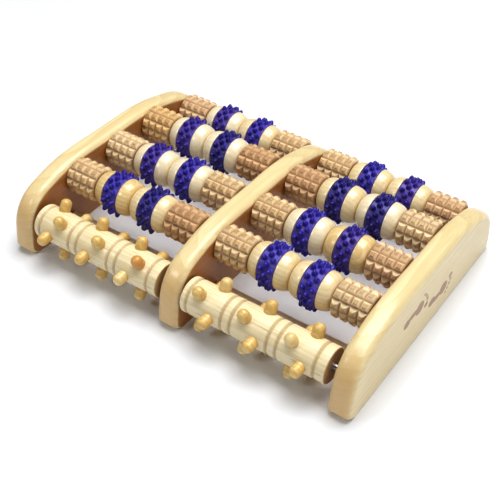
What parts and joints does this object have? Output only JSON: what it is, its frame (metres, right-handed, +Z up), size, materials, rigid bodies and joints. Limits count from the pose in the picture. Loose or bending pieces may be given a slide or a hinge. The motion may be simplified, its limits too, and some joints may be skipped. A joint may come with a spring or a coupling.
{
  "type": "foot massage roller",
  "caption": "Wooden foot massager: arched boards hold rods of free-turning knurled rollers, rubber-ringed wheels and pegged front dowels.",
  "frame": {"origin": "on the floor under the middle of the whole box: the lowest face of the boards is z = 0", "axes": "+X along the rods from left to right seen from the front, +Y from the pegged dowels at the front to the rear, +Z up"},
  "size_m": [0.29, 0.2162, 0.0621],
  "materials": {
    "board_wood": "clear lacquer, satin",
    "knurl_wood": "milled, raw",
    "wheel_wood": "turned, satin lacquer",
    "dowel_wood": "turned, satin lacquer",
    "rail_wood": "planed",
    "ring_rubber": "moulded, blue-violet",
    "rod_steel": "drawn wire"
  },
  "bodies": {
    "frame": {"board_left": "board_wood", "board_centre": "board_wood", "board_right": "board_wood", "rod_front": "rod_steel", "rod_a": "rod_steel", "rod_b": "rod_steel", "rod_c": "rod_steel", "rod_d": "rod_steel", "rail_left": "rail_wood", "rail_right": "rail_wood"},
    "dowel_left": {"dowel_left": "dowel_wood"},
    "dowel_right": {"dowel_right": "dowel_wood"},
    "knurl_a_left_outer": {"knurl_a_left_outer": "knurl_wood"},
    "wheel_a_left_outer": {"wheel_a_left_outer_core": "wheel_wood", "wheel_a_left_outer_ring": "ring_rubber"},
    "knurl_a_left_inner": {"knurl_a_left_inner": "knurl_wood"},
    "wheel_a_left_inner": {"wheel_a_left_inner_core": "wheel_wood", "wheel_a_left_inner_ring": "ring_rubber"},
    "knurl_a_right_outer": {"knurl_a_right_outer": "knurl_wood"},
    "wheel_a_right_outer": {"wheel_a_right_outer_core": "wheel_wood", "wheel_a_right_outer_ring": "ring_rubber"},
    "knurl_a_right_inner": {"knurl_a_right_inner": "knurl_wood"},
    "wheel_a_right_inner": {"wheel_a_right_inner_core": "wheel_wood", "wheel_a_right_inner_ring": "ring_rubber"},
    "knurl_b_left_outer": {"knurl_b_left_outer": "knurl_wood"},
    "wheel_b_left_outer": {"wheel_b_left_outer_core": "wheel_wood", "wheel_b_left_outer_ring": "ring_rubber"},
    "knurl_b_left_inner": {"knurl_b_left_inner": "knurl_wood"},
    "wheel_b_left_inner": {"wheel_b_left_inner_core": "wheel_wood", "wheel_b_left_inner_ring": "ring_rubber"},
    "knurl_b_right_outer": {"knurl_b_right_outer": "knurl_wood"},
    "wheel_b_right_outer": {"wheel_b_right_outer_core": "wheel_wood", "wheel_b_right_outer_ring": "ring_rubber"},
    "knurl_b_right_inner": {"knurl_b_right_inner": "knurl_wood"},
    "wheel_b_right_inner": {"wheel_b_right_inner_core": "wheel_wood", "wheel_b_right_inner_ring": "ring_rubber"},
    "knurl_c_left_outer": {"knurl_c_left_outer": "knurl_wood"},
    "wheel_c_left_outer": {"wheel_c_left_outer_core": "wheel_wood", "wheel_c_left_outer_ring": "ring_rubber"},
    "knurl_c_left_inner": {"knurl_c_left_inner": "knurl_wood"},
    "wheel_c_left_inner": {"wheel_c_left_inner_core": "wheel_wood", "wheel_c_left_inner_ring": "ring_rubber"},
    "knurl_c_right_outer": {"knurl_c_right_outer": "knurl_wood"},
    "wheel_c_right_outer": {"wheel_c_right_outer_core": "wheel_wood", "wheel_c_right_outer_ring": "ring_rubber"},
    "knurl_c_right_inner": {"knurl_c_right_inner": "knurl_wood"},
    "wheel_c_right_inner": {"wheel_c_right_inner_core": "wheel_wood", "wheel_c_right_inner_ring": "ring_rubber"},
    "knurl_d_left_outer": {"knurl_d_left_outer": "knurl_wood"},
    "wheel_d_left_outer": {"wheel_d_left_outer_core": "wheel_wood", "wheel_d_left_outer_ring": "ring_rubber"},
    "knurl_d_left_inner": {"knurl_d_left_inner": "knurl_wood"},
    "wheel_d_left_inner": {"wheel_d_left_inner_core": "wheel_wood", "wheel_d_left_inner_ring": "ring_rubber"},
    "knurl_d_right_outer": {"knurl_d_right_outer": "knurl_wood"},
    "wheel_d_right_outer": {"wheel_d_right_outer_core": "wheel_wood", "wheel_d_right_outer_ring": "ring_rubber"},
    "knurl_d_right_inner": {"knurl_d_right_inner": "knurl_wood"},
    "wheel_d_right_inner": {"wheel_d_right_inner_core": "wheel_wood", "wheel_d_right_inner_ring": "ring_rubber"}
  },
  "joints": [
    {"name": "dowel_left_spin", "type": "hinge", "parent": "frame", "child": "dowel_left", "pos_m": [-0.06765, -0.086, 0.0273], "axis": [1, 0, 0], "continuous": true},
    {"name": "dowel_right_spin", "type": "hinge", "parent": "frame", "child": "dowel_right", "pos_m": [0.06665, -0.086, 0.0273], "axis": [1, 0, 0], "continuous": true},
    {"name": "knurl_a_left_outer_spin", "type": "hinge", "parent": "frame", "child": "knurl_a_left_outer", "pos_m": [-0.1145, -0.0461, 0.0446], "axis": [1, 0, 0], "continuous": true},
    {"name": "wheel_a_left_outer_spin", "type": "hinge", "parent": "frame", "child": "wheel_a_left_outer", "pos_m": [-0.0847, -0.0461, 0.0446], "axis": [1, 0, 0], "continuous": true},
    {"name": "knurl_a_left_inner_spin", "type": "hinge", "parent": "frame", "child": "knurl_a_left_inner", "pos_m": [-0.022, -0.0461, 0.0446], "axis": [1, 0, 0], "continuous": true},
    {"name": "wheel_a_left_inner_spin", "type": "hinge", "parent": "frame", "child": "wheel_a_left_inner", "pos_m": [-0.0518, -0.0461, 0.0446], "axis": [1, 0, 0], "continuous": true},
    {"name": "knurl_a_right_outer_spin", "type": "hinge", "parent": "frame", "child": "knurl_a_right_outer", "pos_m": [0.1145, -0.0461, 0.0446], "axis": [1, 0, 0], "continuous": true},
    {"name": "wheel_a_right_outer_spin", "type": "hinge", "parent": "frame", "child": "wheel_a_right_outer", "pos_m": [0.0847, -0.0461, 0.0446], "axis": [1, 0, 0], "continuous": true},
    {"name": "knurl_a_right_inner_spin", "type": "hinge", "parent": "frame", "child": "knurl_a_right_inner", "pos_m": [0.022, -0.0461, 0.0446], "axis": [1, 0, 0], "continuous": true},
    {"name": "wheel_a_right_inner_spin", "type": "hinge", "parent": "frame", "child": "wheel_a_right_inner", "pos_m": [0.0518, -0.0461, 0.0446], "axis": [1, 0, 0], "continuous": true},
    {"name": "knurl_b_left_outer_spin", "type": "hinge", "parent": "frame", "child": "knurl_b_left_outer", "pos_m": [-0.1145, -0.0025, 0.0446], "axis": [1, 0, 0], "continuous": true},
    {"name": "wheel_b_left_outer_spin", "type": "hinge", "parent": "frame", "child": "wheel_b_left_outer", "pos_m": [-0.0847, -0.0025, 0.0446], "axis": [1, 0, 0], "continuous": true},
    {"name": "knurl_b_left_inner_spin", "type": "hinge", "parent": "frame", "child": "knurl_b_left_inner", "pos_m": [-0.022, -0.0025, 0.0446], "axis": [1, 0, 0], "continuous": true},
    {"name": "wheel_b_left_inner_spin", "type": "hinge", "parent": "frame", "child": "wheel_b_left_inner", "pos_m": [-0.0518, -0.0025, 0.0446], "axis": [1, 0, 0], "continuous": true},
    {"name": "knurl_b_right_outer_spin", "type": "hinge", "parent": "frame", "child": "knurl_b_right_outer", "pos_m": [0.1145, -0.0025, 0.0446], "axis": [1, 0, 0], "continuous": true},
    {"name": "wheel_b_right_outer_spin", "type": "hinge", "parent": "frame", "child": "wheel_b_right_outer", "pos_m": [0.0847, -0.0025, 0.0446], "axis": [1, 0, 0], "continuous": true},
    {"name": "knurl_b_right_inner_spin", "type": "hinge", "parent": "frame", "child": "knurl_b_right_inner", "pos_m": [0.022, -0.0025, 0.0446], "axis": [1, 0, 0], "continuous": true},
    {"name": "wheel_b_right_inner_spin", "type": "hinge", "parent": "frame", "child": "wheel_b_right_inner", "pos_m": [0.0518, -0.0025, 0.0446], "axis": [1, 0, 0], "continuous": true},
    {"name": "knurl_c_left_outer_spin", "type": "hinge", "parent": "frame", "child": "knurl_c_left_outer", "pos_m": [-0.1145, 0.0411, 0.0446], "axis": [1, 0, 0], "continuous": true},
    {"name": "wheel_c_left_outer_spin", "type": "hinge", "parent": "frame", "child": "wheel_c_left_outer", "pos_m": [-0.0847, 0.0411, 0.0446], "axis": [1, 0, 0], "continuous": true},
    {"name": "knurl_c_left_inner_spin", "type": "hinge", "parent": "frame", "child": "knurl_c_left_inner", "pos_m": [-0.022, 0.0411, 0.0446], "axis": [1, 0, 0], "continuous": true},
    {"name": "wheel_c_left_inner_spin", "type": "hinge", "parent": "frame", "child": "wheel_c_left_inner", "pos_m": [-0.0518, 0.0411, 0.0446], "axis": [1, 0, 0], "continuous": true},
    {"name": "knurl_c_right_outer_spin", "type": "hinge", "parent": "frame", "child": "knurl_c_right_outer", "pos_m": [0.1145, 0.0411, 0.0446], "axis": [1, 0, 0], "continuous": true},
    {"name": "wheel_c_right_outer_spin", "type": "hinge", "parent": "frame", "child": "wheel_c_right_outer", "pos_m": [0.0847, 0.0411, 0.0446], "axis": [1, 0, 0], "continuous": true},
    {"name": "knurl_c_right_inner_spin", "type": "hinge", "parent": "frame", "child": "knurl_c_right_inner", "pos_m": [0.022, 0.0411, 0.0446], "axis": [1, 0, 0], "continuous": true},
    {"name": "wheel_c_right_inner_spin", "type": "hinge", "parent": "frame", "child": "wheel_c_right_inner", "pos_m": [0.0518, 0.0411, 0.0446], "axis": [1, 0, 0], "continuous": true},
    {"name": "knurl_d_left_outer_spin", "type": "hinge", "parent": "frame", "child": "knurl_d_left_outer", "pos_m": [-0.1145, 0.087, 0.0314], "axis": [1, 0, 0], "continuous": true},
    {"name": "wheel_d_left_outer_spin", "type": "hinge", "parent": "frame", "child": "wheel_d_left_outer", "pos_m": [-0.0847, 0.087, 0.0314], "axis": [1, 0, 0], "continuous": true},
    {"name": "knurl_d_left_inner_spin", "type": "hinge", "parent": "frame", "child": "knurl_d_left_inner", "pos_m": [-0.022, 0.087, 0.0314], "axis": [1, 0, 0], "continuous": true},
    {"name": "wheel_d_left_inner_spin", "type": "hinge", "parent": "frame", "child": "wheel_d_left_inner", "pos_m": [-0.0518, 0.087, 0.0314], "axis": [1, 0, 0], "continuous": true},
    {"name": "knurl_d_right_outer_spin", "type": "hinge", "parent": "frame", "child": "knurl_d_right_outer", "pos_m": [0.1145, 0.087, 0.0314], "axis": [1, 0, 0], "continuous": true},
    {"name": "wheel_d_right_outer_spin", "type": "hinge", "parent": "frame", "child": "wheel_d_right_outer", "pos_m": [0.0847, 0.087, 0.0314], "axis": [1, 0, 0], "continuous": true},
    {"name": "knurl_d_right_inner_spin", "type": "hinge", "parent": "frame", "child": "knurl_d_right_inner", "pos_m": [0.022, 0.087, 0.0314], "axis": [1, 0, 0], "continuous": true},
    {"name": "wheel_d_right_inner_spin", "type": "hinge", "parent": "frame", "child": "wheel_d_right_inner", "pos_m": [0.0518, 0.087, 0.0314], "axis": [1, 0, 0], "continuous": true}
  ]
}
